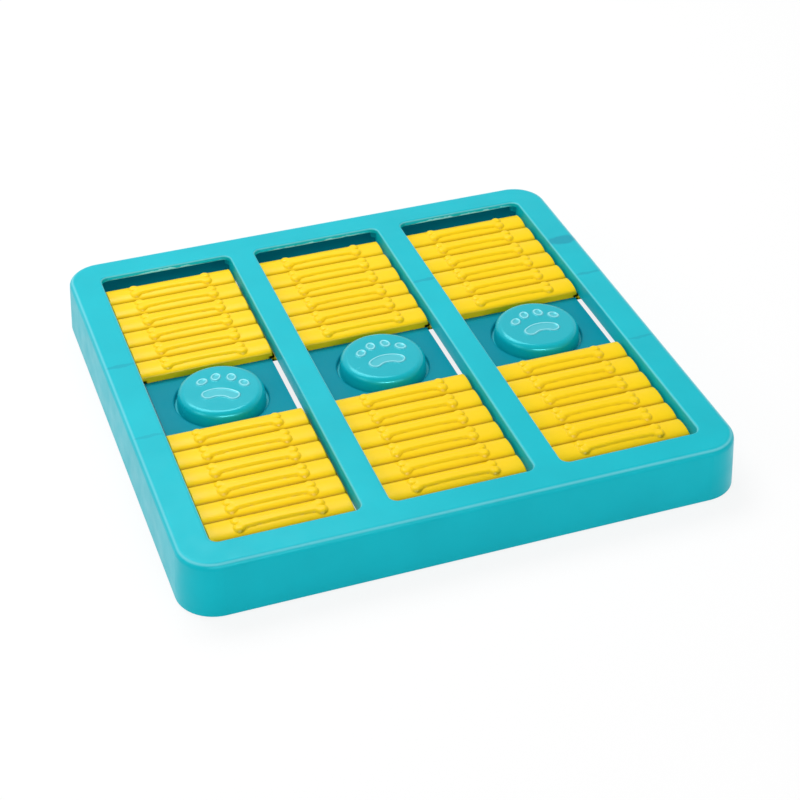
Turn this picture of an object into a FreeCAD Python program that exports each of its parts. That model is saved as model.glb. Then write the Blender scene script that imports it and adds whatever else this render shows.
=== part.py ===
"""Dog puzzle feeder: a flat tray with three lanes, each with two slatted shutters and a sprung paw button.

Millimetres, +Z up. The origin is the middle of the footprint on the floor, +Y points to the far side.
A hollow frame stands on four rubber feet. Under each opening hangs a lane tray with two treat wells and
a button housing. The shutters ride on the trays and slide outwards, under the frame's end rims.
"""
import FreeCAD
import Part
import math
import os

V = FreeCAD.Vector

# frame
LANES = ("left", "middle", "right")
LANE_WIDTH = 78.0
LANE_LENGTH = 252.0
DIVIDER_WIDTH = 15.0
RIM_WIDTH = 18.0
FRAME_TOP = 31.8
FRAME_LIFT = 0.8
FRAME_CORNER_RADIUS = 19.0
FRAME_DRAFT = 1.8
FRAME_TOP_FILLET = 3.6
FRAME_WALL = 2.4
FRAME_SKIN = 3.0
OPENING_CORNER_RADIUS = 4.6
OPENING_EDGE_FILLET = 1.4
LANE_WALL = 2.2
LIP_BEAD_RADIUS = 1.0
LIP_BEAD_PROUD = 0.4

# shutters
SIDE_GAP = 2.7
SLATS = 6
SLAT_HEIGHT = 5.8
SLAT_GROOVE_DEPTH = 2.5
SLAT_SKIN = 1.7
SHUTTER_DEPTH_BELOW_TOP = 4.5
SHUTTER_END_GAP = 6.0
SHUTTER_BUTTON_GAP = 3.1
SHUTTER_TRAVEL = 19.0
SLIDE_CLEARANCE = 0.2
RUNNER_THICKNESS = 1.6
RUNNER_REACH = 2.0
RUNNER_CLEARANCE = 0.4
RUNNER_STOP_MARGIN = 2.0

# raised bone on each slat
BONE_LENGTH = 49.6
BONE_RELIEF = 1.1
BONE_KNOB_RADIUS = 3.6
BONE_KNOB_SPREAD = 2.3
BONE_SHAFT_RADIUS = 3.8

# lane tray
TRAY_PLATE = 2.4
TRAY_END_CLEARANCE = 0.5
WELL_DEPTH = 11.0
WELL_WALL = 1.8
WELL_MARGIN = 5.0
WELL_CORNER_RADIUS = 6.0
EAR_LENGTH = 10.0
EAR_WIDTH = 5.2
EAR_END_MARGIN = 2.0

# paw button
BUTTON_RADIUS = 24.5
BUTTON_RISE = 7.0
BUTTON_WALL = 2.0
BUTTON_TOP_FILLET = 3.4
BUTTON_DRAFT = 0.7
BUTTON_GAP = 1.2
BUTTON_FLANGE_WIDTH = 3.0
BUTTON_FLANGE_HEIGHT = 1.8
BUTTON_TRAVEL = 5.0
BUTTON_STOP_CLEARANCE = 0.1
HOLE_LIP_FILLET = 1.2
HOUSING_CLEARANCE = 0.6
HOUSING_WALL = 1.8
PAW_RELIEF = 0.6
TOE_HALF_LENGTH = 3.5
TOE_HALF_WIDTH = 2.7
PAD_WAY = 11.0
PAD_HALF_THICKNESS = 3.8
PAD_SPREAD = 38.0
PAD_TOP = 0.0
BUTTON_TURNS = (-20.0, 0.0, 0.0)

# button base and spring
BASE_PLATE = 2.0
BASE_PLATE_HEIGHT = 3.2
BASE_SCREW_BOSS_RADIUS = 3.0
BASE_SCREWS = 2
SPRING_RADIUS = 7.0
SPRING_WIRE = 1.0
SPRING_TURNS = 6
SPRING_SEAT_GAP = 0.05
POST_CLEARANCE = 0.8
POST_HEIGHT = 5.0

# screws and feet
SCREW_RADIUS = 1.4
SCREW_HOLE_CLEARANCE = 0.3
SCREW_HEAD_RADIUS = 2.7
SCREW_HEAD_HEIGHT = 1.6
SCREW_LENGTH = 9.0
SCREW_BITE_CLEARANCE = 0.05
BOSS_RADIUS = 3.2
FOOT_RADIUS = 5.2
FOOT_HEIGHT = 3.2
FOOT_SIDE_INSET = 8.0
FOOT_END_INSET = 31.0
FOOT_POCKET_WALL = 1.5
FOOT_POCKET_CLEARANCE = 0.1
FOOT_GRIP_RADIUS = 3.2
FOOT_GRIP_DEPTH = 0.5

# sizes that follow
LANE_PITCH = LANE_WIDTH + DIVIDER_WIDTH
TOP_WIDTH = len(LANES) * LANE_WIDTH + (len(LANES) - 1) * DIVIDER_WIDTH + 2 * RIM_WIDTH
TOP_DEPTH = LANE_LENGTH + 2 * RIM_WIDTH
LANE_X = [(n - (len(LANES) - 1) / 2) * LANE_PITCH for n in range(len(LANES))]
SHUTTER_TOP = FRAME_TOP - SHUTTER_DEPTH_BELOW_TOP
SHUTTER_BOTTOM = SHUTTER_TOP - SLAT_HEIGHT
TRAY_TOP = SHUTTER_BOTTOM - SLIDE_CLEARANCE
SHUTTER_WIDTH = LANE_WIDTH - 2 * SIDE_GAP
SHUTTER_OUTER = LANE_LENGTH / 2 - SHUTTER_END_GAP
SHUTTER_INNER = BUTTON_RADIUS + SHUTTER_BUTTON_GAP
SLAT_PITCH = (SHUTTER_OUTER - SHUTTER_INNER) / SLATS
RUNNER_OUTER = LANE_LENGTH / 2 - SHUTTER_TRAVEL - RUNNER_STOP_MARGIN
TRAY_LENGTH = TOP_DEPTH - 2 * FRAME_WALL - 2 * TRAY_END_CLEARANCE
TRAY_UNDER = TRAY_TOP - TRAY_PLATE
BUTTON_TOP = TRAY_TOP + BUTTON_RISE
HOLE_RADIUS = BUTTON_RADIUS + BUTTON_GAP
FLANGE_RADIUS = BUTTON_RADIUS + BUTTON_FLANGE_WIDTH
HOUSING_RADIUS = FLANGE_RADIUS + HOUSING_CLEARANCE
FLANGE_TOP = TRAY_UNDER - BUTTON_STOP_CLEARANCE
BASE_TOP = BASE_PLATE_HEIGHT + BASE_PLATE
EAR_Y = TRAY_LENGTH / 2 - EAR_END_MARGIN - EAR_LENGTH / 2
POST_RADIUS = SPRING_RADIUS - SPRING_WIRE / 2 - POST_CLEARANCE
CAP_POST_LOW = BUTTON_TOP - BUTTON_WALL - POST_HEIGHT
BASE_POST_TOP = CAP_POST_LOW - BUTTON_TRAVEL - BUTTON_STOP_CLEARANCE


def save(shape, name):
    """Writes one piece, or a group of separate solids, to its own file."""
    shape.exportStep(os.path.join("parts", name + ".step"))
    print(name, len(shape.Solids), "solids, volume %.0f" % shape.Volume)


def rounded_wire(width, depth, radius, z, centre=(0.0, 0.0)):
    """A closed rectangle with round corners, level at height z."""
    x0, x1 = centre[0] - width / 2, centre[0] + width / 2
    y0, y1 = centre[1] - depth / 2, centre[1] + depth / 2
    corners = ((x1, y1, 0), (x0, y1, 90), (x0, y0, 180), (x1, y0, 270))
    arcs = []
    for x, y, start in corners:
        middle = V(x - math.copysign(radius, x - centre[0]), y - math.copysign(radius, y - centre[1]), z)
        circle = Part.Circle(middle, V(0, 0, 1), radius)
        arcs.append(Part.Arc(circle, math.radians(start), math.radians(start + 90)).toShape())
    edges = []
    for n, arc in enumerate(arcs):
        following = arcs[(n + 1) % len(arcs)]
        edges.append(arc)
        edges.append(Part.makeLine(arc.lastVertex(True).Point, following.firstVertex(True).Point))
    return Part.Wire(edges)


def rounded_block(width, depth, radius, low, high, centre=(0.0, 0.0)):
    """A block with round upright corners, from height low to height high."""
    face = Part.Face(rounded_wire(width, depth, radius, low, centre))
    return face.extrude(V(0, 0, high - low))


def block(x0, x1, y0, y1, z0, z1):
    """A plain block between two corners."""
    return Part.makeBox(x1 - x0, y1 - y0, z1 - z0, V(x0, y0, z0))


def cylinder(radius, low, high, x=0.0, y=0.0):
    """An upright cylinder."""
    return Part.makeCylinder(radius, high - low, V(x, y, low))


def tray_screw_places():
    """Where a lane tray is screwed to the frame, measured from the lane's middle."""
    reach = SHUTTER_WIDTH / 2 + SIDE_GAP + EAR_WIDTH / 2
    return [(side * reach, end * EAR_Y) for side in (-1, 1) for end in (-1, 1)]


def foot_places():
    """The middles of the four feet."""
    x, y = TOP_WIDTH / 2 - FOOT_SIDE_INSET, TOP_DEPTH / 2 - FOOT_END_INSET
    return [(sx * x, sy * y) for sx in (-1, 1) for sy in (-1, 1)]


def drafted_body(inset, top, low, spread):
    """The outer or inner form of the frame: a rounded block that widens towards the floor."""
    radius = FRAME_CORNER_RADIUS - inset
    upper = rounded_wire(TOP_WIDTH - 2 * inset, TOP_DEPTH - 2 * inset, radius, top)
    wide = 2 * (spread - inset)
    lower = rounded_wire(TOP_WIDTH + wide, TOP_DEPTH + wide, radius + spread, low)
    return Part.makeLoft([lower, upper], True, True)


def frame():
    """The hollow frame: outer shell, three openings, their side walls, screw bosses and foot pockets."""
    shell = drafted_body(0.0, FRAME_TOP, FRAME_LIFT, FRAME_DRAFT)
    top_edges = [e for e in shell.Edges if all(abs(v.Point.z - FRAME_TOP) < 1e-6 for v in e.Vertexes)]
    shell = shell.makeFillet(FRAME_TOP_FILLET, top_edges)
    ceiling = FRAME_TOP - FRAME_SKIN
    cavity = drafted_body(FRAME_WALL, ceiling, FRAME_LIFT - 1.0, FRAME_DRAFT)
    shell = shell.cut(cavity)
    half_wall = LANE_WIDTH / 2 + LANE_WALL
    room = TOP_DEPTH / 2 - FRAME_WALL
    for x in LANE_X:
        for side in (-1, 1):
            inner = x + side * LANE_WIDTH / 2
            outer = x + side * half_wall
            low, high = sorted((inner, outer))
            wall = block(low, high, -LANE_LENGTH / 2, LANE_LENGTH / 2, TRAY_TOP, ceiling)
            shell = shell.fuse(wall)
    for x in LANE_X:
        opening = rounded_block(
            LANE_WIDTH, LANE_LENGTH, OPENING_CORNER_RADIUS, TRAY_TOP - 1.0, FRAME_TOP + 1.0, (x, 0.0)
        )
        shell = shell.cut(opening)
    rim = [e for e in shell.Edges if on_opening_rim(e)]
    shell = shell.makeFillet(OPENING_EDGE_FILLET, rim)
    bead_y = LANE_LENGTH / 2 + LIP_BEAD_RADIUS - LIP_BEAD_PROUD
    bead_half = LANE_WIDTH / 2 - OPENING_CORNER_RADIUS
    bead_z = ceiling + 0.8 * LIP_BEAD_RADIUS
    for x in LANE_X:
        for end in (-1, 1):
            place = V(x - bead_half, end * bead_y, bead_z)
            shell = shell.fuse(Part.makeCylinder(LIP_BEAD_RADIUS, 2 * bead_half, place, V(1, 0, 0)))
        for dx, dy in tray_screw_places():
            boss = cylinder(BOSS_RADIUS, TRAY_TOP, ceiling + 0.5, x + dx, dy)
            hole = cylinder(SCREW_RADIUS + SCREW_BITE_CLEARANCE, TRAY_TOP - 1.0, ceiling - 0.5, x + dx, dy)
            shell = shell.fuse(boss).cut(hole)
    for x, y in foot_places():
        post = cylinder(FOOT_RADIUS + FOOT_POCKET_WALL, FRAME_LIFT, ceiling + 0.5, x, y)
        seat = cylinder(FOOT_RADIUS + FOOT_POCKET_CLEARANCE, -1.0, FOOT_HEIGHT, x, y)
        trimmed = post.common(drafted_body(FRAME_WALL / 2, ceiling + 0.5, FRAME_LIFT, FRAME_DRAFT))
        shell = shell.fuse(trimmed).cut(seat)
    return shell.removeSplitter()


def on_opening_rim(edge):
    """True for the edges where an opening meets the frame's top face."""
    if any(abs(v.Point.z - FRAME_TOP) > 1e-6 for v in edge.Vertexes):
        return False
    box = edge.BoundBox
    if box.YMax > LANE_LENGTH / 2 + 1e-3 or box.YMin < -LANE_LENGTH / 2 - 1e-3:
        return False
    half = LANE_WIDTH / 2 + 1e-3
    return any(box.XMin > x - half and box.XMax < x + half for x in LANE_X)


def slat_profile(skin):
    """The end view of a shutter: one shallow arch per slat, moved in by a skin on every side."""
    step = SLAT_PITCH
    y = SHUTTER_INNER + skin
    top = SHUTTER_TOP - skin
    valley = top - SLAT_GROOVE_DEPTH
    low = SHUTTER_BOTTOM if skin == 0 else SHUTTER_BOTTOM - 1.0
    edges = [Part.makeLine(V(0, y, low), V(0, y, valley))]
    for n in range(SLATS):
        start = SHUTTER_INNER + n * step if n else y
        end = SHUTTER_INNER + (n + 1) * step if n < SLATS - 1 else SHUTTER_OUTER - skin
        middle = SHUTTER_INNER + (n + 0.5) * step
        edges.append(Part.Arc(V(0, start, valley), V(0, middle, top), V(0, end, valley)).toShape())
    last = SHUTTER_OUTER - skin
    edges.append(Part.makeLine(V(0, last, valley), V(0, last, low)))
    edges.append(Part.makeLine(V(0, last, low), V(0, y, low)))
    return Part.Face(Part.Wire(edges))


def bone(y):
    """A raised bone along X: two knobs at each end and a shaft between them, sunk into the slat."""
    knob_x = BONE_LENGTH / 2 - BONE_KNOB_RADIUS
    knob_z = SHUTTER_TOP + BONE_RELIEF - BONE_KNOB_RADIUS
    shaft_z = SHUTTER_TOP + BONE_RELIEF - BONE_SHAFT_RADIUS
    shape = Part.makeCylinder(BONE_SHAFT_RADIUS, 2 * knob_x, V(-knob_x, y, shaft_z), V(1, 0, 0))
    for side in (-1, 1):
        for lobe in (-1, 1):
            place = V(side * knob_x, y + lobe * BONE_KNOB_SPREAD, knob_z)
            shape = shape.fuse(Part.makeSphere(BONE_KNOB_RADIUS, place))
    return shape


def shutter():
    """One slatted shutter, at the far end of a lane in the middle of the frame."""
    half = SHUTTER_WIDTH / 2
    body = slat_profile(0.0).extrude(V(SHUTTER_WIDTH, 0, 0))
    body.translate(V(-half, 0, 0))
    hollow = slat_profile(SLAT_SKIN).extrude(V(SHUTTER_WIDTH - 2 * SLAT_SKIN, 0, 0))
    hollow.translate(V(SLAT_SKIN - half, 0, 0))
    for n in range(SLATS):
        body = body.fuse(bone(SHUTTER_INNER + (n + 0.5) * SLAT_PITCH))
    body = body.cut(hollow)
    foot_top = TRAY_TOP - RUNNER_CLEARANCE
    foot_low = foot_top - RUNNER_THICKNESS
    flange_top = SHUTTER_BOTTOM + RUNNER_THICKNESS
    near = half + SLIDE_CLEARANCE
    far = near + RUNNER_THICKNESS
    toe = LANE_WIDTH / 2 + RUNNER_REACH
    for side in (-1, 1):
        for a, b, end, low, high in (
            (half - SLAT_SKIN / 2, far, SHUTTER_OUTER, SHUTTER_BOTTOM, flange_top),
            (near, far, RUNNER_OUTER, foot_low, flange_top),
            (near, toe, RUNNER_OUTER, foot_low, foot_top),
        ):
            x0, x1 = sorted((side * a, side * b))
            body = body.fuse(block(x0, x1, SHUTTER_INNER, end, low, high))
    return body.removeSplitter()


def lane_tray():
    """The tray under one lane: rails, two treat wells and the housing of the button."""
    half = SHUTTER_WIDTH / 2
    tray = block(-half, half, -TRAY_LENGTH / 2, TRAY_LENGTH / 2, TRAY_UNDER, TRAY_TOP)
    ear_reach = half + SIDE_GAP + EAR_WIDTH
    for end in (-1, 1):
        y = end * EAR_Y
        tray = tray.fuse(
            block(-ear_reach, ear_reach, y - EAR_LENGTH / 2, y + EAR_LENGTH / 2, TRAY_UNDER, TRAY_TOP)
        )
    inner_end = well_inner_end()
    outer_end = SHUTTER_OUTER - WELL_MARGIN
    length = outer_end - inner_end
    width = SHUTTER_WIDTH - 2 * WELL_MARGIN
    for end in (-1, 1):
        centre = (0.0, end * (inner_end + outer_end) / 2)
        cup = rounded_block(
            width + 2 * WELL_WALL, length + 2 * WELL_WALL, WELL_CORNER_RADIUS + WELL_WALL,
            TRAY_TOP - WELL_DEPTH - WELL_WALL, TRAY_TOP, centre,
        )
        hollow = rounded_block(
            width, length, WELL_CORNER_RADIUS, TRAY_TOP - WELL_DEPTH, TRAY_TOP + 1.0, centre
        )
        floor_edges = [e for e in hollow.Edges if abs(e.BoundBox.ZMax - (TRAY_TOP - WELL_DEPTH)) < 1e-6]
        hollow = hollow.makeFillet(WELL_CORNER_RADIUS / 2, floor_edges)
        tray = tray.fuse(cup).cut(hollow)
    housing = cylinder(HOUSING_RADIUS + HOUSING_WALL, BASE_TOP, TRAY_UNDER)
    tray = tray.fuse(housing).cut(cylinder(HOUSING_RADIUS, BASE_TOP - 1.0, TRAY_UNDER))
    hole = cylinder(HOLE_RADIUS, TRAY_UNDER - 1.0, TRAY_TOP + 1.0)
    tray = tray.cut(hole)
    lip = [
        e for e in tray.Edges
        if e.Curve.TypeId == "Part::GeomCircle"
        and abs(e.Curve.Radius - HOLE_RADIUS) < 1e-6 and abs(e.BoundBox.ZMin - TRAY_TOP) < 1e-6
    ]
    tray = tray.makeFillet(HOLE_LIP_FILLET, lip)
    for x, y in base_screw_places():
        boss = cylinder(BASE_SCREW_BOSS_RADIUS, BASE_TOP, TRAY_UNDER + 0.5, x, y)
        boss = boss.cut(cylinder(HOUSING_RADIUS, BASE_TOP - 1.0, TRAY_TOP))
        tray = tray.fuse(boss)
        bite = cylinder(SCREW_RADIUS + SCREW_BITE_CLEARANCE, BASE_TOP - 1.0, TRAY_UNDER - 1.0, x, y)
        tray = tray.cut(bite)
    for x, y in tray_screw_places():
        tray = tray.cut(cylinder(SCREW_RADIUS + SCREW_HOLE_CLEARANCE, 0.0, FRAME_TOP, x, y))
    return tray.removeSplitter()


def well_inner_end():
    """Where a treat well begins, counted from the middle of the lane."""
    return HOUSING_RADIUS + HOUSING_WALL + WELL_WALL + 1.0


def base_screw_places():
    """The screws that hold a button's base to its housing."""
    reach = HOUSING_RADIUS + BASE_SCREW_BOSS_RADIUS
    turn = 360.0 / BASE_SCREWS
    angles = [math.radians(turn * n) for n in range(BASE_SCREWS)]
    return [(reach * math.cos(a), reach * math.sin(a)) for a in angles]


def paw_print(low, high):
    """Four toes and one curved pad, as raised islands on the button's top."""
    shapes = []
    toes = ((-10.9, 5.5, 40.0), (-3.8, 10.2, 12.0), (4.8, 10.2, -12.0), (12.2, 5.1, -40.0))
    for x, y, turn in toes:
        toe = Part.Ellipse(V(0, 0, low), TOE_HALF_LENGTH, TOE_HALF_WIDTH)
        face = Part.Face(Part.Wire(toe.toShape()))
        solid = face.extrude(V(0, 0, high - low))
        solid.rotate(V(0, 0, 0), V(0, 0, 1), 90 + turn)
        solid.translate(V(x, y, 0))
        shapes.append(solid)
    swing = math.radians(PAD_SPREAD)
    middle_y = PAD_TOP - PAD_HALF_THICKNESS - PAD_WAY

    def on_arc(radius, angle):
        return V(radius * math.sin(angle), middle_y + radius * math.cos(angle), low)

    outer, inner = PAD_WAY + PAD_HALF_THICKNESS, PAD_WAY - PAD_HALF_THICKNESS
    bulge = swing + PAD_HALF_THICKNESS / PAD_WAY
    outline = (
        (on_arc(outer, -swing), on_arc(outer, 0.0), on_arc(outer, swing)),
        (on_arc(outer, swing), on_arc(PAD_WAY, bulge), on_arc(inner, swing)),
        (on_arc(inner, swing), on_arc(inner, 0.0), on_arc(inner, -swing)),
        (on_arc(inner, -swing), on_arc(PAD_WAY, -bulge), on_arc(outer, -swing)),
    )
    pad = Part.Wire([Part.Arc(a, b, c).toShape() for a, b, c in outline])
    shapes.append(Part.Face(pad).extrude(V(0, 0, high - low)))
    return shapes


def button():
    """The paw button: a hollow cap with a flange that stops it under the tray."""
    flange_low = FLANGE_TOP - BUTTON_FLANGE_HEIGHT
    cap = Part.makeCone(
        BUTTON_RADIUS, BUTTON_RADIUS - BUTTON_DRAFT, BUTTON_TOP - flange_low, V(0, 0, flange_low)
    )
    rim = [
        e for e in cap.Edges
        if e.Closed and abs(e.BoundBox.ZMin - BUTTON_TOP) < 1e-6 and e.BoundBox.XLength > 1
    ]
    cap = cap.makeFillet(BUTTON_TOP_FILLET, rim)
    cap = cap.fuse(cylinder(FLANGE_RADIUS, flange_low, FLANGE_TOP))
    hollow_radius = BUTTON_RADIUS - BUTTON_DRAFT - BUTTON_WALL
    cap = cap.cut(cylinder(hollow_radius, flange_low - 1.0, BUTTON_TOP - BUTTON_WALL))
    cap = cap.fuse(cylinder(POST_RADIUS, CAP_POST_LOW, BUTTON_TOP - BUTTON_WALL / 2))
    for island in paw_print(BUTTON_TOP - 0.5, BUTTON_TOP + PAW_RELIEF):
        cap = cap.fuse(island)
    return cap.removeSplitter()


def button_base():
    """The disc that closes a button's housing from below and seats its spring."""
    disc = cylinder(HOUSING_RADIUS + HOUSING_WALL, BASE_PLATE_HEIGHT, BASE_TOP)
    for x, y in base_screw_places():
        disc = disc.fuse(cylinder(BASE_SCREW_BOSS_RADIUS, BASE_PLATE_HEIGHT, BASE_TOP, x, y))
        disc = disc.cut(cylinder(SCREW_RADIUS + SCREW_HOLE_CLEARANCE, 0.0, BASE_TOP + 1.0, x, y))
    disc = disc.fuse(cylinder(POST_RADIUS, BASE_TOP - BASE_PLATE / 2, BASE_POST_TOP))
    return disc.removeSplitter()


def spring():
    """The open coil spring between the base and the button's cap, with one turn per pitch."""
    low = BASE_TOP + SPRING_SEAT_GAP + SPRING_WIRE / 2
    high = BUTTON_TOP - BUTTON_WALL - SPRING_SEAT_GAP - SPRING_WIRE / 2
    height = high - low
    helix = Part.makeLongHelix(height / SPRING_TURNS, height, SPRING_RADIUS)
    start = Part.Circle(V(SPRING_RADIUS, 0, 0), V(0, 1, 0), SPRING_WIRE / 2)
    sweep = Part.Wire(helix.Edges).makePipeShell([Part.Wire(start.toShape())], True, True)
    sweep.translate(V(0, 0, low))
    return sweep


def screw():
    """One screw with its round head hanging below height 0 and its shank going up, drive recess below."""
    head = cylinder(SCREW_HEAD_RADIUS, -SCREW_HEAD_HEIGHT, 0.0)
    shank = cylinder(SCREW_RADIUS, -SCREW_HEAD_HEIGHT / 2, SCREW_LENGTH)
    recess = cylinder(SCREW_RADIUS / 2, -SCREW_HEAD_HEIGHT - 1.0, -SCREW_HEAD_HEIGHT / 2)
    return head.fuse(shank).cut(recess)


def placed(shape, x=0.0, y=0.0, z=0.0, turn=0.0):
    """A copy of a piece, turned about the upright axis by so many degrees and then moved."""
    copy = shape.copy()
    copy.rotate(V(0, 0, 0), V(0, 0, 1), turn)
    copy.translate(V(x, y, z))
    return copy


def foot():
    """One rubber foot with a shallow dished underside."""
    disc = cylinder(FOOT_RADIUS, 0.0, FOOT_HEIGHT)
    return disc.cut(cylinder(FOOT_GRIP_RADIUS, -1.0, FOOT_GRIP_DEPTH))


def main():
    """Builds each piece once and writes a copy of it for every lane."""
    os.makedirs("parts", exist_ok=True)
    save(frame(), "frame")
    save(Part.makeCompound([placed(foot(), x, y) for x, y in foot_places()]), "rubber_feet")
    tray, cap, base, coil = lane_tray(), button(), button_base(), spring()
    slatted, fixing = shutter(), screw()
    for lane, x, turn in zip(LANES, LANE_X, BUTTON_TURNS):
        save(placed(tray, x), f"lane_tray_{lane}")
        save(placed(slatted, x), f"rear_shutter_{lane}")
        save(placed(slatted, x, turn=180.0), f"front_shutter_{lane}")
        save(placed(cap, x, turn=turn), f"paw_button_{lane}")
        save(placed(base, x), f"button_base_{lane}")
        save(placed(coil, x), f"button_spring_{lane}")
        tray_screws = [placed(fixing, x + dx, dy, TRAY_UNDER) for dx, dy in tray_screw_places()]
        save(Part.makeCompound(tray_screws), f"tray_screws_{lane}")
        base_screws = [placed(fixing, x + dx, dy, BASE_PLATE_HEIGHT) for dx, dy in base_screw_places()]
        save(Part.makeCompound(base_screws), f"base_screws_{lane}")


main()
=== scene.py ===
import math
import bpy
import numpy as np
from mathutils import Matrix, Vector


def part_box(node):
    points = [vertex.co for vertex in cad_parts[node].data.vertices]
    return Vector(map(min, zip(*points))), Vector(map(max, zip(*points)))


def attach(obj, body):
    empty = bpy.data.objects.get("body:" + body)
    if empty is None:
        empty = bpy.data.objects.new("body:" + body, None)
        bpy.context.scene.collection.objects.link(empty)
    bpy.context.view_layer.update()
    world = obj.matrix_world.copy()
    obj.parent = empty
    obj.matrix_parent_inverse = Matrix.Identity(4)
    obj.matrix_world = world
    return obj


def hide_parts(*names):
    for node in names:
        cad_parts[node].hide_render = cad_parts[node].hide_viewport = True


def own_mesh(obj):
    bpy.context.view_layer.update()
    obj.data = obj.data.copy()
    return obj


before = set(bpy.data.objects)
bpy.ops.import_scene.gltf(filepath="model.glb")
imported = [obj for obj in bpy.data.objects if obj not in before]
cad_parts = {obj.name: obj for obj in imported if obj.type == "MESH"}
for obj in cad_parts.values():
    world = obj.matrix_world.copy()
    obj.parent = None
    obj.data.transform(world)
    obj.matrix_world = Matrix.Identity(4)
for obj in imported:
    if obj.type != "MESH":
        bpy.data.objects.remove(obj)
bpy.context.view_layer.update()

MM = 0.001
LANES = ("left", "middle", "right")
LANE_X = (-93.0, 0.0, 93.0)
ENDS = (("rear", 1), ("front", -1))
BUTTON_TURNS = {"left": -20.0, "middle": 0.0, "right": 0.0}

# camera, found from the straight edges of the frame and lanes in the photo
CAMERA_PLACE = (-0.2755, -0.8069, 0.6242)
CAMERA_HEADING = 19.49
CAMERA_DOWN = 36.32
CAMERA_ROLL = 0.13
CAMERA_LENS = 84.13
CAMERA_NEAR = 0.01

# colours, linear
TEAL = (0.002, 0.400, 0.475)
TEAL_DEEP = (0.001, 0.340, 0.410)
TEAL_SHEEN = (0.20, 0.95, 1.00)
TRAY_TEAL = (0.0005, 0.215, 0.285)
BUTTON_TEAL = (0.002, 0.340, 0.410)
MARK_TEAL = (0.001, 0.240, 0.330)
# painted highlight tint: the frame's rounded edges, the lip lines and the paw outlines
HIGHLIGHT_TINT = (0.300, 0.680, 0.740)
YELLOW = (0.880, 0.600, 0.003)
YELLOW_DEEP = (0.850, 0.560, 0.001)
# painted shade in the shutters' grooves and along the bones' feet
YELLOW_CREVICE_SHADE = (0.480, 0.290, 0.001)
STEEL = (0.560, 0.570, 0.580)
RUBBER = (0.030, 0.030, 0.033)
PAPER = (0.9, 0.9, 0.9)
WHITE = (1.0, 1.0, 1.0)

# gloss: roughness, strength of reflections and the faint glow that lifts the teal's shaded parts
TEAL_ROUGHNESS = 0.36
TRAY_ROUGHNESS = 0.45
BUTTON_ROUGHNESS = 0.22
YELLOW_ROUGHNESS = 0.33
STEEL_ROUGHNESS = 0.32
RUBBER_ROUGHNESS = 0.75
TEAL_SPECULAR = 0.28
TRAY_SPECULAR = 0.12
BUTTON_SPECULAR = 0.55
YELLOW_SPECULAR = 0.16
TEAL_GLOW = 0.14

# surface of moulded plastic: noise in cycles per metre, bumps in metres
CLOUD_SCALE = 28.0
CLOUD_SHARE = 0.55
GLOSS_SCALE = 90.0
GLOSS_DETAIL = 4.0
GLOSS_CHANGE = (-0.05, 0.06)
WAVE_SCALE = 55.0
WAVE_DETAIL = 1.0
WAVE_STRENGTH = 0.15
WAVE_DISTANCE = 0.0012
GRAIN_SCALE = 1600.0
GRAIN_DETAIL = 2.0
GRAIN_STRENGTH = 0.10
GRAIN_DISTANCE = 0.00008

# darker moulding marks on the rims: middle and half sizes in millimetres, strength
RIM_MIDDLE = 141.0
DIVIDER_MIDDLE = 46.5
FRAME_TOP = 31.8
MARK_DEPTH = 4.0
MARK_WOBBLE = 3.0
MARK_WOBBLE_SCALE = 180.0
MARK_FADE_START = 0.7
MARK_FADE_END = 1.1
RIM_MARKS = (
    ((RIM_MIDDLE, 74.0, FRAME_TOP), (11.0, 5.0, MARK_DEPTH), 0.8),
    ((RIM_MIDDLE, 35.0, FRAME_TOP), (9.0, 1.4, MARK_DEPTH), 0.5),
    ((RIM_MIDDLE, -36.0, FRAME_TOP), (9.0, 1.4, MARK_DEPTH), 0.4),
    ((-RIM_MIDDLE, 34.0, FRAME_TOP), (9.0, 1.6, MARK_DEPTH), 0.5),
    ((-RIM_MIDDLE, -33.0, FRAME_TOP), (9.0, 1.4, MARK_DEPTH), 0.4),
    ((DIVIDER_MIDDLE, 60.0, FRAME_TOP), (8.0, 1.6, MARK_DEPTH), 0.5),
)

# painted highlights on the frame: heights of the paler band on its rounded edges, and a pale line along the
# lip at each lane's far end
EDGE_LOW = 30.5
EDGE_HIGH = 31.3
EDGE_TOP = 31.78
EDGE_SHINE = 0.35
LIP_Y = 126.2
LIP_Z = 29.3
LIP_HALF_SIZES = (37.0, 1.6, 0.7)
LIP_SHINE = 0.75
LIP_HIGHLIGHTS = tuple(((x, LIP_Y, LIP_Z), LIP_HALF_SIZES, LIP_SHINE) for x in LANE_X)

# studio: each lamp's name, place, size and watts
FLOOR_HALF = 4.0
FLOOR_GLOW = 0.85
SKY_LIGHT = 0.44
SOFT_BOXES = (
    ("rear_box", (-0.20, 0.62, 1.12), (1.0, 0.6), 13.0),
    ("left_box", (-1.1, -0.3, 0.6), (0.6, 0.6), 3.5),
    ("fill_box", (0.35, -1.25, 0.50), (0.9, 0.5), 4.2),
)
SHINE_BOXES = (
    ("front_strip", (-0.20, -1.20, 0.62), (0.8, 0.14), 14.0),
)

# shutter skin, millimetres, from the middle of its lane
LANE_HALF = 39.0
SHUTTER_SIDE_GAP = 1.5
SHUTTER_HALF = LANE_HALF - SHUTTER_SIDE_GAP
SHUTTER_LEAN = -0.5
SHUTTER_HEIGHT = 5.8
SHUTTER_SKIN = 1.7
SHUTTER_STEP = 0.40
SHARP_ANGLE = 40.0

# slats, and the painted shade, a darker colour in the grooves between them and around the bones
SLATS = 6
SLAT_ROWS = 54
SLAT_GROOVE = 2.6
SLAT_SHARPNESS = 2.1
SLAT_END_ROUND = 0.7
CREVICE_START = 0.6
CREVICE_DEPTH = 2.0
BONE_SHADE = 0.40
BONE_SHADE_WIDTH = 0.35

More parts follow.
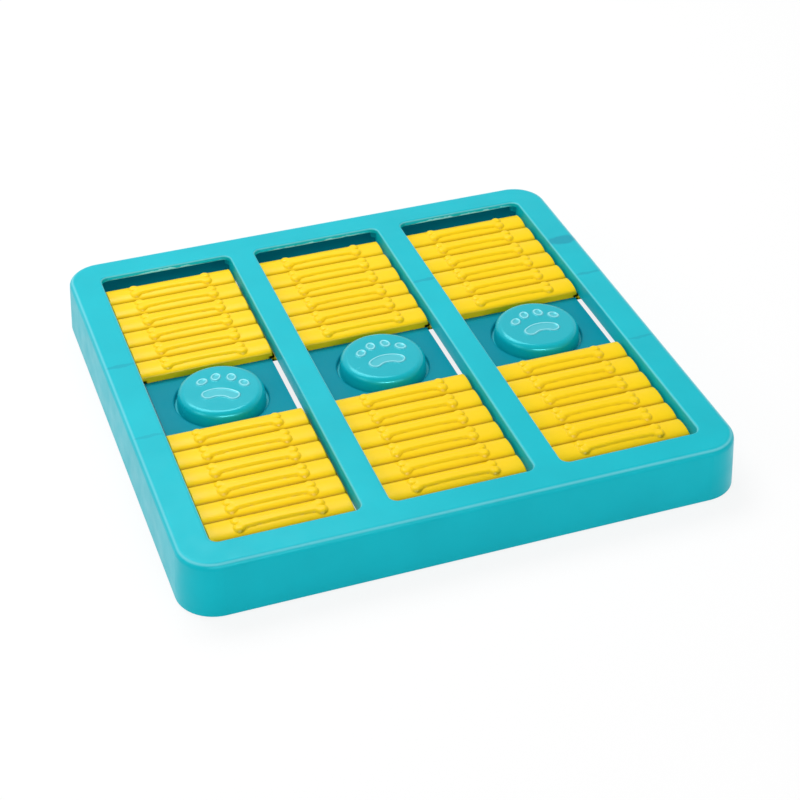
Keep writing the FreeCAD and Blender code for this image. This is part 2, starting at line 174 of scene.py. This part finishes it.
# bone on each slat
BONE_RELIEF = 1.1
BONE_HALF_LENGTH = 21.4
BONE_LOBE_RADIUS = 3.3
BONE_LOBE_SPREAD = 2.5
BONE_SHAFT_HALF = 4.3
BONE_WAIST = 1.0
BONE_SOFTNESS = 1.2
BONE_DOME = 2.2
BONE_FALL = 4.0
BONE_BLEND = 0.20

# runners under a shutter's sides, which hook under the lane's walls
RUNNER_THICKNESS = 1.6
RUNNER_SIDE_GAP = 0.9
RUNNER_END = LANE_HALF - RUNNER_SIDE_GAP
RUNNER_START = RUNNER_END - RUNNER_THICKNESS
RUNNER_ROOT = 35.0
RUNNER_REACH = 2.0
RUNNER_TOE = LANE_HALF + RUNNER_REACH
RUNNER_LENGTH = 77.4
RUNNER_DROP = 2.2

# button skin, millimetres
BUTTON_FLANGE = 3.0
BUTTON_FLANGE_HEIGHT = 1.8
BUTTON_DRAFT = 0.7
BUTTON_ROUND = 3.8
BUTTON_ROUND_STEPS = 14
BUTTON_WALL = 2.0
BUTTON_STEP = 0.3
BUTTON_SPOKES = 360
PINHOLE_RADIUS = 0.02
POST_RADIUS = 5.7
POST_HEIGHT = 5.0

# paw on each button: relief, painted highlight along its outline, and its pads from the button's middle
PAW_CAD_RELIEF = 0.6
PAW_STEP = 0.7
PAW_DIP = 0.4
PAW_EDGE = 0.5
PAW_RIM = 1.6
PAW_OUTLINE_HIGHLIGHT = 0.80
PAW_FILL = 0.18
TOES = ((-10.9, 5.5, 40.0), (-3.8, 10.2, 12.0), (4.8, 10.2, -12.0), (12.2, 5.1, -40.0))
TOE_HALF_WIDTH = 2.7
TOE_HALF_LENGTH = 3.5
PAD_MIDDLE = (0.4, -14.8)
PAD_ARC = 11.0
PAD_THICKNESS = 3.8
PAD_SPREAD = 38.0
FAR_AWAY = 1e3


def smooth_min(a, b, blend):
    """Smallest of two distances, rounded where they meet.

    It is min(a, b) - h^2 / (4 blend), where h = max(blend - |a - b|, 0).
    """
    h = np.maximum(blend - np.abs(a - b), 0.0)
    return np.minimum(a, b) - h * h / (4.0 * blend)


def smooth_step(t):
    """0 below 0, 1 above 1 and 3t^2 - 2t^3 between."""
    t = np.clip(t, 0.0, 1.0)
    return t * t * (3.0 - 2.0 * t)


def mesh_object(name, vertices, faces):
    """A smooth object at the origin from vertices in millimetres and faces, crisp over SHARP_ANGLE."""
    mesh = bpy.data.meshes.new(name)
    mesh.from_pydata((np.asarray(vertices) * MM).tolist(), [], faces)
    mesh.validate()
    mesh.update()
    mesh.polygons.foreach_set("use_smooth", [True] * len(mesh.polygons))
    piece = bpy.data.objects.new(name, mesh)
    bpy.context.scene.collection.objects.link(piece)
    mesh.set_sharp_from_angle(angle=math.radians(SHARP_ANGLE))
    return piece


def paint(piece, attribute, values):
    """Stores a number for each of a piece's first vertices, and 0 for the rest."""
    numbers = np.zeros(len(piece.data.vertices))
    numbers[:len(values)] = values
    piece.data.attributes.new(attribute, "FLOAT", "POINT").data.foreach_set("value", numbers)


def grid_faces(rows, columns, closed=False, flip=False):
    """Four-sided faces over a grid of vertices, row by row; closed joins each row's last to its first."""
    r = np.arange(rows - 1)[:, None]
    c = np.arange(columns if closed else columns - 1)[None, :]
    a = r * columns + c
    b = r * columns + (c + 1) % columns
    quads = np.stack([a, b, b + columns, a + columns], axis=-1).reshape(-1, 4)
    return (quads[:, ::-1] if flip else quads).tolist()


def grid_border(rows, columns):
    """The outer vertices of a grid as one loop."""
    return np.concatenate([
        np.arange(columns),
        np.arange(1, rows) * columns + columns - 1,
        (rows - 1) * columns + np.arange(columns - 2, -1, -1),
        np.arange(rows - 2, 0, -1) * columns,
    ])


def wall_faces(rings, flip):
    """Four-sided faces from each ring of vertices to the next, and one face that closes the last."""
    faces = []
    for upper, lower in zip(rings[:-1], rings[1:]):
        quads = np.stack([upper, lower, np.roll(lower, -1), np.roll(upper, -1)], axis=-1)
        faces += (quads[:, ::-1] if flip else quads).tolist()
    faces.append((rings[-1][::-1] if flip else rings[-1]).tolist())
    return faces


def add_box(low, high, vertices, faces):
    """Adds a closed box between two corners to lists of vertices and faces."""
    start = len(vertices)
    corners = ((low[0], low[1]), (high[0], low[1]), (high[0], high[1]), (low[0], high[1]))
    for z in (low[2], high[2]):
        vertices.extend([[x, y, z] for x, y in corners])
    sides = ((3, 2, 1, 0), (4, 5, 6, 7), (0, 1, 5, 4), (1, 2, 6, 5), (2, 3, 7, 6), (3, 0, 4, 7))
    faces.extend([[start + k for k in side] for side in sides])


def bone_distance(x, y):
    """Distance from a bone's outline: two lobes at each end, and a shaft that narrows to its middle."""
    ax = np.abs(x)
    ay = np.abs(y)
    lobes = np.hypot(ax - BONE_HALF_LENGTH, ay - BONE_LOBE_SPREAD) - BONE_LOBE_RADIUS
    waist = BONE_SHAFT_HALF - BONE_WAIST * (1.0 - (ax / BONE_HALF_LENGTH) ** 2)
    shaft = np.maximum(ay - waist, ax - BONE_HALF_LENGTH)
    return smooth_min(lobes, shaft, BONE_SOFTNESS)


def bone_height(x, y):
    """Height of a bone: a quarter circle of BONE_DOME inside its outline, and a steep fall outside."""
    outline = bone_distance(x, y)
    inside = np.clip(-outline / BONE_DOME, 0.0, 1.0)
    dome = BONE_RELIEF - BONE_DOME * (1.0 - np.sqrt(1.0 - (1.0 - inside) ** 2))
    return dome - BONE_FALL * np.maximum(outline, 0.0)


def slat_shape(u, across, pitch):
    """Height above the crest and the darkness of painted shade in the crevices and along each bone's foot, u
    from a shutter's inner end.

    Each slat is 1 - (1 - |t|^n)^(1/n) deep at t from -1 to 1 across it, and its ends drop by a quarter
    circle. Its bone joins it by a smooth maximum.
    """
    n = np.clip(np.floor(u / pitch), 0, SLATS - 1)
    local = u - (n + 0.5) * pitch
    t = np.clip(np.abs(local) / (pitch / 2), 0.0, 1.0)
    groove = -SLAT_GROOVE * (1.0 - (1.0 - t ** SLAT_SHARPNESS) ** (1.0 / SLAT_SHARPNESS))
    edge = np.clip((np.abs(across) - (SHUTTER_HALF - SLAT_END_ROUND)) / SLAT_END_ROUND, 0.0, 1.0)
    slat = groove - SLAT_END_ROUND * (1.0 - np.sqrt(1.0 - edge ** 2))
    bone = bone_height(across, local)
    height = -smooth_min(-slat, -bone, BONE_BLEND)
    between = (u > pitch / 2) & (u < (SLATS - 0.5) * pitch)
    crevice_shade = between * smooth_step((-groove - CREVICE_START) / CREVICE_DEPTH)
    # painted shade along the foot of each bone
    line = BONE_SHADE * np.exp(-((bone - slat) / BONE_SHADE_WIDTH) ** 2)
    return height, np.maximum(crevice_shade, line)


def slat_rows(length):
    """Distances along a shutter, closest together at the grooves: half a sine wave over each slat."""
    crowded = 0.5 + 0.5 * np.sin(math.pi / 2 * np.linspace(-1.0, 1.0, SLAT_ROWS + 1))
    rows = np.arange(SLATS)[:, None] + crowded[None, :-1]
    return np.append(rows.reshape(-1), SLATS) * length / SLATS


def rings_below(border, centre, span, bottom, ceiling):
    """The rings of a shell below the border of its top: outer foot, inner foot and ceiling."""
    outer_low = border.copy()
    outer_low[:, 2] = bottom
    inner_low = outer_low.copy()
    inner_low[:, :2] = centre + (outer_low[:, :2] - centre) * (span - SHUTTER_SKIN) / span
    inner_high = inner_low.copy()
    inner_high[:, 2] = ceiling
    return [outer_low, inner_low, inner_high]


def add_runners(middle, inner, length, sign, bottom, vertices, faces):
    """Adds a flange along each side of a shutter, and a hooked runner that goes under the lane's walls."""
    foot_low = bottom - RUNNER_DROP
    foot_top = foot_low + RUNNER_THICKNESS
    flange_top = bottom + RUNNER_THICKNESS
    for side in (-1, 1):
        for a, b, reach, low, high in (
            (RUNNER_ROOT, RUNNER_END, length, bottom, flange_top),
            (RUNNER_START, RUNNER_END, RUNNER_LENGTH, foot_low, flange_top),
            (RUNNER_START, RUNNER_TOE, RUNNER_LENGTH, foot_low, foot_top),
        ):
            x0, x1 = sorted((middle + side * a, middle + side * b))
            y0, y1 = sorted((inner, inner + sign * reach))
            add_box((x0, y0, low), (x1, y1, high), vertices, faces)


def shutter_skin(name, node, sign):
    """A shutter's moulded shell: slats with bones, straight sides, a hollow underside and runners."""
    low, high = (np.array(corner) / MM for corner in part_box(node))
    lane = (low[0] + high[0]) / 2
    middle = lane + SHUTTER_LEAN
    inner = low[1] if sign > 0 else high[1]
    length = high[1] - low[1]
    crest = high[2] - BONE_RELIEF
    bottom = crest - SHUTTER_HEIGHT
    u = slat_rows(length)
    x = np.linspace(-SHUTTER_HALF, SHUTTER_HALF, int(2 * SHUTTER_HALF / SHUTTER_STEP))
    across, along = np.meshgrid(x, u)
    height, crevice_shade = slat_shape(along, across, length / SLATS)
    top = np.stack([middle + across, inner + sign * along, crest + height], axis=-1).reshape(-1, 3)
    border = grid_border(len(u), len(x))
    centre = np.array([middle, inner + sign * length / 2])
    span = np.array([SHUTTER_HALF, length / 2])
    below = rings_below(top[border], centre, span, bottom, crest - SLAT_GROOVE - SHUTTER_SKIN)
    count = len(border)
    rings = [border] + [len(top) + k * count + np.arange(count) for k in range(len(below))]
    faces = grid_faces(len(u), len(x), flip=sign < 0) + wall_faces(rings, flip=sign < 0)
    vertices = np.concatenate([top, *below]).tolist()
    add_runners(lane, inner, length, sign, bottom, vertices, faces)
    piece = mesh_object(name, vertices, faces)
    # painted shade in the grooves and along the bones' feet, stored for the material
    paint(piece, "crevice_shade", crevice_shade.reshape(-1))
    return piece


def paw_distance(x, y):
    """Distance from the nearest pad's outline: four tilted ellipses and one arched bar with round ends."""
    nearest = np.full(x.shape, FAR_AWAY)
    for toe_x, toe_y, tilt in TOES:
        a = math.radians(tilt)
        px = (x - toe_x) * math.cos(a) - (y - toe_y) * math.sin(a)
        py = (x - toe_x) * math.sin(a) + (y - toe_y) * math.cos(a)
        k = np.hypot(px / TOE_HALF_WIDTH, py / TOE_HALF_LENGTH)
        nearest = np.minimum(nearest, (k - 1.0) * TOE_HALF_WIDTH)
    dx = x - PAD_MIDDLE[0]
    dy = y - PAD_MIDDLE[1]
    widest = math.radians(PAD_SPREAD)
    angle = np.clip(np.arctan2(dx, dy), -widest, widest)
    bar = np.hypot(dx - PAD_ARC * np.sin(angle), dy - PAD_ARC * np.cos(angle)) - PAD_THICKNESS
    return np.minimum(nearest, bar)


def paw_height(x, y):
    """Relief of the paw: it rises over PAW_EDGE at each outline and dips again PAW_RIM inside."""
    inside = -paw_distance(x, y)
    rise = PAW_STEP * smooth_step(inside / PAW_EDGE + 0.5)
    dip = PAW_DIP * smooth_step((inside - PAW_EDGE) / (PAW_RIM - PAW_EDGE))
    return rise - dip


def paw_highlight(x, y):
    """Painted highlight on the paw: most along its outlines, where its raised edges catch light, and a
    little paleness inside them.
    """
    distance = paw_distance(x, y)
    outline = np.exp(-((distance + PAW_EDGE) / PAW_EDGE) ** 2)
    filled = smooth_step(-distance / PAW_EDGE)
    return np.maximum(outline * PAW_OUTLINE_HIGHLIGHT, filled * PAW_FILL)


def button_profile(foot, top, cap_radius, flange_radius):
    """Radii and heights of a button's section, from the middle of its top round to the end of its post."""
    shoulder = cap_radius - BUTTON_DRAFT
    flat = shoulder - BUTTON_ROUND
    bore = shoulder - BUTTON_WALL
    ceiling = top - BUTTON_WALL
    post_end = ceiling - POST_HEIGHT
    flange_top = foot + BUTTON_FLANGE_HEIGHT
    profile = [(r, top) for r in np.arange(PINHOLE_RADIUS, flat, BUTTON_STEP)]
    for a in np.linspace(0.0, math.pi / 2, BUTTON_ROUND_STEPS):
        profile.append((flat + BUTTON_ROUND * math.sin(a), top - BUTTON_ROUND * (1.0 - math.cos(a))))
    profile += [(cap_radius, flange_top), (flange_radius, flange_top), (flange_radius, foot)]
    profile += [(bore, foot), (bore, ceiling), (POST_RADIUS, ceiling)]
    profile += [(POST_RADIUS, post_end), (PINHOLE_RADIUS, post_end)]
    return np.array(profile).T


def button_skin(name, node, turn):
    """A paw button: a drafted cap with a round edge and a raised paw, hollow below, with a flange."""
    low, high = (np.array(corner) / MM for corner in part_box(node))
    middle = (low + high) / 2
    top = high[2] - PAW_CAD_RELIEF
    flange_radius = (high[0] - low[0]) / 2
    radius, height = button_profile(low[2], top, flange_radius - BUTTON_FLANGE, flange_radius)
    angle = np.linspace(0.0, 2 * math.pi, BUTTON_SPOKES, endpoint=False)
    x = radius[:, None] * np.cos(angle)
    y = radius[:, None] * np.sin(angle)
    z = np.repeat(height[:, None], BUTTON_SPOKES, axis=1)
    upper = height > top - BUTTON_ROUND
    z[upper] += paw_height(x, y)[upper]
    a = math.radians(turn)
    turned_x = middle[0] + x * math.cos(a) - y * math.sin(a)
    turned_y = middle[1] + x * math.sin(a) + y * math.cos(a)
    vertices = np.stack([turned_x, turned_y, z], axis=-1).reshape(-1, 3)
    faces = grid_faces(len(radius), BUTTON_SPOKES, closed=True, flip=True)
    last_ring = (len(radius) - 1) * BUTTON_SPOKES
    faces.append(list(range(BUTTON_SPOKES)))
    faces.append([last_ring + k for k in range(BUTTON_SPOKES)][::-1])
    piece = mesh_object(name, vertices, faces)
    # painted highlight along the paw's outlines, stored for the material
    paint(piece, "paw_edge_highlight", (paw_highlight(x, y) * upper[:, None]).reshape(-1))
    return piece


def squash_spring(lane):
    """Gives a button's spring a copy of its mesh of its own; the spring keeps its shape."""
    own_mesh(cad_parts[f"button_spring_{lane}"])


def add_node(tree, kind, values, **settings):
    """A shader node with its settings; values gives its inputs a number, a colour or a node's output."""
    node = tree.nodes.new(kind)
    for label, value in settings.items():
        setattr(node, label, value)
    for key, value in values.items():
        if isinstance(value, bpy.types.NodeSocket):
            tree.links.new(value, node.inputs[key])
        else:
            node.inputs[key].default_value = value
    return node


def node_group(name, inputs, outputs):
    """An empty shader group with named inputs and outputs, each input a name, a socket type and a value."""
    group = bpy.data.node_groups.new(name, "ShaderNodeTree")
    for label, kind, value in inputs:
        socket = group.interface.new_socket(label, in_out="INPUT", socket_type=kind)
        socket.default_value = value
    for label, kind in outputs:
        group.interface.new_socket(label, in_out="OUTPUT", socket_type=kind)
    return group, group.nodes.new("NodeGroupInput"), group.nodes.new("NodeGroupOutput")


def object_place(tree):
    """Where a point lies in its object, in metres."""
    return add_node(tree, "ShaderNodeTexCoord", {}).outputs["Object"]


def noise(tree, place, scale, detail=3.0, output="Fac"):
    """A noise texture, in cycles per metre."""
    values = {"Vector": place, "Scale": scale, "Detail": detail}
    return add_node(tree, "ShaderNodeTexNoise", values).outputs[output]


def spread(tree, value, low, high):
    """Maps a noise value from the middle of its range, 0.3 to 0.7, to low to high."""
    values = {"Value": value, "From Min": 0.3, "From Max": 0.7, "To Min": low, "To Max": high}
    return add_node(tree, "ShaderNodeMapRange", values).outputs["Result"]


def smooth_ramp(tree, value, low, high, start, end):
    """Goes smoothly from start, where value is low, to end, where it is high."""
    values = {"Value": value, "From Min": low, "From Max": high, "To Min": start, "To Max": end}
    node = add_node(tree, "ShaderNodeMapRange", values, interpolation_type="SMOOTHSTEP")
    return node.outputs["Result"]


def calculate(tree, operation, a, b):
    """Two numbers joined by an operation."""
    return add_node(tree, "ShaderNodeMath", {0: a, 1: b}, operation=operation).outputs["Value"]


def mixed(tree, factor, a, b):
    """A colour that goes from a to b as factor goes from 0 to 1."""
    values = {"Factor": factor, "A": a, "B": b}
    return add_node(tree, "ShaderNodeMix", values, data_type="RGBA").outputs["Result"]


def moulded_plastic_group():
    """Moulded plastic: a faint cloudy tone, darker marks (moulding marks, and painted shade in crevices), a
    paler tint of painted highlights, uneven gloss, waviness and fine grain.
    """
    group, given, made = node_group(
        "moulded_plastic",
        [("Colour", "NodeSocketColor", (*TEAL, 1.0)), ("Deep Colour", "NodeSocketColor", (*TEAL_DEEP, 1.0)),
         ("Roughness", "NodeSocketFloat", TEAL_ROUGHNESS), ("Waviness", "NodeSocketFloat", WAVE_STRENGTH),
         ("Edge", "NodeSocketFloat", 0.0), ("Mark", "NodeSocketFloat", 0.0),
         ("Mark Colour", "NodeSocketColor", (*MARK_TEAL, 1.0))],
        [("Colour", "NodeSocketColor"), ("Roughness", "NodeSocketFloat"), ("Normal", "NodeSocketVector")],
    )
    given = given.outputs
    place = object_place(group)
    cloud = spread(group, noise(group, place, CLOUD_SCALE), 0.0, CLOUD_SHARE)
    tone = mixed(group, cloud, given["Colour"], given["Deep Colour"])
    # darker moulding marks on the frame, and painted shade in the shutters' crevices
    marked = mixed(group, given["Mark"], tone, given["Mark Colour"])
    # painted highlights on edges, lip lines and paw outlines
    edged = mixed(group, given["Edge"], marked, (*HIGHLIGHT_TINT, 1.0))
    patches = spread(group, noise(group, place, GLOSS_SCALE, GLOSS_DETAIL), *GLOSS_CHANGE)
    gloss = calculate(group, "ADD", given["Roughness"], patches)
    wave = {
        "Height": noise(group, place, WAVE_SCALE, WAVE_DETAIL),
        "Strength": given["Waviness"], "Distance": WAVE_DISTANCE,
    }
    wavy = add_node(group, "ShaderNodeBump", wave).outputs["Normal"]
    grain = {
        "Height": noise(group, place, GRAIN_SCALE, GRAIN_DETAIL),
        "Strength": GRAIN_STRENGTH, "Distance": GRAIN_DISTANCE, "Normal": wavy,
    }
    grainy = add_node(group, "ShaderNodeBump", grain).outputs["Normal"]
    for label, output in (("Colour", edged), ("Roughness", gloss), ("Normal", grainy)):
        group.links.new(output, made.inputs[label])
    return group


def marks_and_highlights_group(name, marks):
    """Faint marks, used for moulding marks and for painted highlight lines: each one's strength inside its
    wobbly ellipsoid, falling smoothly to 0 outside.
    """
    group, _, made = node_group(name, [], [("Mark", "NodeSocketFloat")])
    place = object_place(group)
    wobble = noise(group, place, MARK_WOBBLE_SCALE, output="Color")
    values = {0: wobble, 1: (MARK_WOBBLE * MM,) * 3, 2: place}
    shifted = add_node(group, "ShaderNodeVectorMath", values, operation="MULTIPLY_ADD").outputs["Vector"]
    total = 0.0
    for centre, half, strength in marks:
        values = {0: shifted, 1: [(c + MARK_WOBBLE / 2) * MM for c in centre]}
        offset = add_node(group, "ShaderNodeVectorMath", values, operation="SUBTRACT").outputs["Vector"]
        values = {0: offset, 1: [h * MM for h in half]}
        scaled = add_node(group, "ShaderNodeVectorMath", values, operation="DIVIDE").outputs["Vector"]
        size = add_node(group, "ShaderNodeVectorMath", {0: scaled}, operation="LENGTH").outputs["Value"]
        fade = smooth_ramp(group, size, MARK_FADE_START, MARK_FADE_END, strength, 0.0)
        total = calculate(group, "MAXIMUM", total, fade)
    group.links.new(total, made.inputs["Mark"])
    return group


def edge_shine_group():
    """Painted highlight on the rounded edges: a smooth band of height, up from EDGE_LOW to EDGE_HIGH and
    down to EDGE_TOP.
    """
    group, _, made = node_group("edge_shine", [], [("Edge", "NodeSocketFloat")])
    height = add_node(group, "ShaderNodeSeparateXYZ", {"Vector": object_place(group)}).outputs["Z"]
    rise = smooth_ramp(group, height, EDGE_LOW * MM, EDGE_HIGH * MM, 0.0, EDGE_SHINE)
    fall = smooth_ramp(group, height, EDGE_TOP * MM, EDGE_HIGH * MM, 0.0, 1.0)
    group.links.new(calculate(group, "MULTIPLY", rise, fall), made.inputs["Edge"])
    return group


def material(name, group, colour, deep, roughness, **settings):
    """A material whose Principled shader takes its colour, roughness and normal from a group."""
    made = bpy.data.materials.new(name)
    made.use_nodes = True
    tree = made.node_tree
    shader = tree.nodes["Principled BSDF"]
    values = {"Colour": (*colour, 1.0), "Deep Colour": (*deep, 1.0), "Roughness": roughness}
    surface = add_node(tree, "ShaderNodeGroup", values, node_tree=group, name="Surface")
    tree.links.new(surface.outputs["Colour"], shader.inputs["Base Color"])
    tree.links.new(surface.outputs["Roughness"], shader.inputs["Roughness"])
    tree.links.new(surface.outputs["Normal"], shader.inputs["Normal"])
    for label, value in settings.items():
        shader.inputs[label.replace("_", " ")].default_value = value
    return made


def teal_plastic(name, group, colour, deep, roughness, specular):
    """Teal plastic, with teal reflections and a faint glow of its own colour."""
    made = material(
        name, group, colour, deep, roughness,
        Specular_IOR_Level=specular, Specular_Tint=(*TEAL_SHEEN, 1.0), Emission_Strength=TEAL_GLOW,
    )
    tree = made.node_tree
    shader = tree.nodes["Principled BSDF"]
    tree.links.new(tree.nodes["Surface"].outputs["Colour"], shader.inputs["Emission Color"])
    return made


def add_frame_marks_and_highlights(finish):
    """The frame's marks: darker moulding marks, and painted highlights on its rounded edges and in a pale
    line along each lip.
    """
    tree = finish.node_tree
    marks = add_node(tree, "ShaderNodeGroup", {}, node_tree=marks_and_highlights_group("rim_marks", RIM_MARKS))
    lips = add_node(tree, "ShaderNodeGroup", {}, node_tree=marks_and_highlights_group("lip_highlights", LIP_HIGHLIGHTS))
    shine = add_node(tree, "ShaderNodeGroup", {}, node_tree=edge_shine_group())
    pale = calculate(tree, "MAXIMUM", lips.outputs["Mark"], shine.outputs["Edge"])
    tree.links.new(marks.outputs["Mark"], tree.nodes["Surface"].inputs["Mark"])
    tree.links.new(pale, tree.nodes["Surface"].inputs["Edge"])


def feed(finish, attribute, socket):
    """Feeds an attribute of the mesh to one of the surface's inputs."""
    tree = finish.node_tree
    reader = add_node(tree, "ShaderNodeAttribute", {}, attribute_name=attribute)
    tree.links.new(reader.outputs["Fac"], tree.nodes["Surface"].inputs[socket])


def make_finishes():
    """The materials, by the node names' beginnings."""
    group = moulded_plastic_group()
    teal = teal_plastic("teal_moulded", group, TEAL, TEAL_DEEP, TEAL_ROUGHNESS, TEAL_SPECULAR)
    tray = teal_plastic("tray_moulded", group, TRAY_TEAL, TRAY_TEAL, TRAY_ROUGHNESS, TRAY_SPECULAR)
    button = teal_plastic("button_moulded", group, BUTTON_TEAL, TEAL_DEEP, BUTTON_ROUGHNESS, BUTTON_SPECULAR)
    yellow = material(
        "yellow_moulded", group, YELLOW, YELLOW_DEEP, YELLOW_ROUGHNESS, Specular_IOR_Level=YELLOW_SPECULAR
    )
    add_frame_marks_and_highlights(teal)
    # painted highlight on the paw's outlines
    feed(button, "paw_edge_highlight", "Edge")
    # painted shade in the shutters' crevices, in a darker yellow
    feed(yellow, "crevice_shade", "Mark")
    yellow.node_tree.nodes["Surface"].inputs["Mark Colour"].default_value = (*YELLOW_CREVICE_SHADE, 1.0)
    steel = material("steel_plated", group, STEEL, STEEL, STEEL_ROUGHNESS, Metallic=1.0)
    rubber = material("rubber_foot", group, RUBBER, RUBBER, RUBBER_ROUGHNESS)
    return {
        "frame": teal, "rubber_feet": rubber, "lane_tray": tray, "button_base": tray,
        "rear_shutter": yellow, "front_shutter": yellow, "paw_button": button,
        "button_spring": steel, "tray_screws": steel, "base_screws": steel,
    }


def dress(piece, finish):
    """Gives a piece one material."""
    if piece.data.materials:
        for n in range(len(piece.data.materials)):
            piece.data.materials[n] = finish
    else:
        piece.data.materials.append(finish)


def build_pieces(finishes):
    """Makes the shutters' and buttons' skins, and gives every node of the frame its material."""
    for name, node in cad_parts.items():
        dress(node, finishes.get(name) or finishes[name.rsplit("_", 1)[0]])
    for lane in LANES:
        for end, sign in ENDS:
            node = f"{end}_shutter_{lane}"
            skin = shutter_skin(f"{node}_skin", node, sign)
            dress(skin, finishes[f"{end}_shutter"])
            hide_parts(node)
            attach(skin, node)
        node = f"paw_button_{lane}"
        skin = button_skin(f"{node}_skin", node, BUTTON_TURNS[lane])
        dress(skin, finishes["paw_button"])
        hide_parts(node)
        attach(skin, node)
        squash_spring(lane)


def backdrop_rays(tree):
    """1 for the rays that see the white background: from the camera, off reflections and through glass."""
    rays = add_node(tree, "ShaderNodeLightPath", {}).outputs
    total = rays["Is Camera Ray"]
    for name in ("Is Glossy Ray", "Is Transmission Ray"):
        total = calculate(tree, "MAXIMUM", total, rays[name])
    return total


def make_floor():
    """A white floor that the camera sees almost pure white, with a soft shadow left on it."""
    corners = [(-1, -1, 0), (1, -1, 0), (1, 1, 0), (-1, 1, 0)]
    mesh = bpy.data.meshes.new("floor")
    mesh.from_pydata([(x * FLOOR_HALF, y * FLOOR_HALF, z) for x, y, z in corners], [], [(0, 1, 2, 3)])
    floor = bpy.data.objects.new("floor", mesh)
    bpy.context.scene.collection.objects.link(floor)
    made = bpy.data.materials.new("floor_white")
    made.use_nodes = True
    tree = made.node_tree
    tree.nodes.clear()
    share = calculate(tree, "MULTIPLY", backdrop_rays(tree), FLOOR_GLOW)
    paper = add_node(tree, "ShaderNodeBsdfDiffuse", {"Color": (*PAPER, 1.0)}).outputs["BSDF"]
    glow = add_node(tree, "ShaderNodeEmission", {}).outputs["Emission"]
    both = add_node(tree, "ShaderNodeMixShader", {"Fac": share, 1: paper, 2: glow}).outputs["Shader"]
    add_node(tree, "ShaderNodeOutputMaterial", {"Surface": both})
    mesh.materials.append(made)


def make_world():
    """An even pale sky that lights the object and shows as pure white."""
    world = bpy.data.worlds.new("studio")
    bpy.context.scene.world = world
    world.use_nodes = True
    tree = world.node_tree
    values = {"Value": backdrop_rays(tree), "To Min": SKY_LIGHT, "To Max": 1.0}
    level = add_node(tree, "ShaderNodeMapRange", values).outputs["Result"]
    back = tree.nodes["Background"]
    back.inputs["Color"].default_value = (*WHITE, 1.0)
    tree.links.new(level, back.inputs["Strength"])


def make_lights():
    """Soft boxes that look at the origin; those of SHINE_BOXES only show in reflections."""
    for boxes, lights_surfaces in ((SOFT_BOXES, True), (SHINE_BOXES, False)):
        for name, place, size, power in boxes:
            lamp = bpy.data.lights.new(name, "AREA")
            lamp.shape = "RECTANGLE"
            lamp.size, lamp.size_y = size
            lamp.energy = power
            box = bpy.data.objects.new(name, lamp)
            box.location = place
            box.visible_diffuse = lights_surfaces
            box.rotation_euler = (-Vector(place)).to_track_quat("-Z", "Y").to_euler()
            bpy.context.scene.collection.objects.link(box)


def make_camera():
    """The camera of the photo, from its heading, downward angle and roll."""
    heading, down, roll = (math.radians(a) for a in (CAMERA_HEADING, CAMERA_DOWN, CAMERA_ROLL))
    forward = Vector((
        math.sin(heading) * math.cos(down), math.cos(heading) * math.cos(down), -math.sin(down),
    ))
    level = Vector((math.cos(heading), -math.sin(heading), 0.0))
    lower = forward.cross(level)
    right = math.cos(roll) * level + math.sin(roll) * lower
    below = math.cos(roll) * lower - math.sin(roll) * level
    turn = Matrix((right, -below, -forward)).transposed().to_4x4()
    data = bpy.data.cameras.new("photo_camera")
    data.lens = CAMERA_LENS
    data.clip_start = CAMERA_NEAR
    camera = bpy.data.objects.new("photo_camera", data)
    camera.matrix_world = Matrix.Translation(CAMERA_PLACE) @ turn
    bpy.context.scene.collection.objects.link(camera)
    bpy.context.scene.camera = camera


build_pieces(make_finishes())
make_floor()
make_world()
make_lights()
make_camera()
bpy.context.scene.view_settings.view_transform = "Standard"
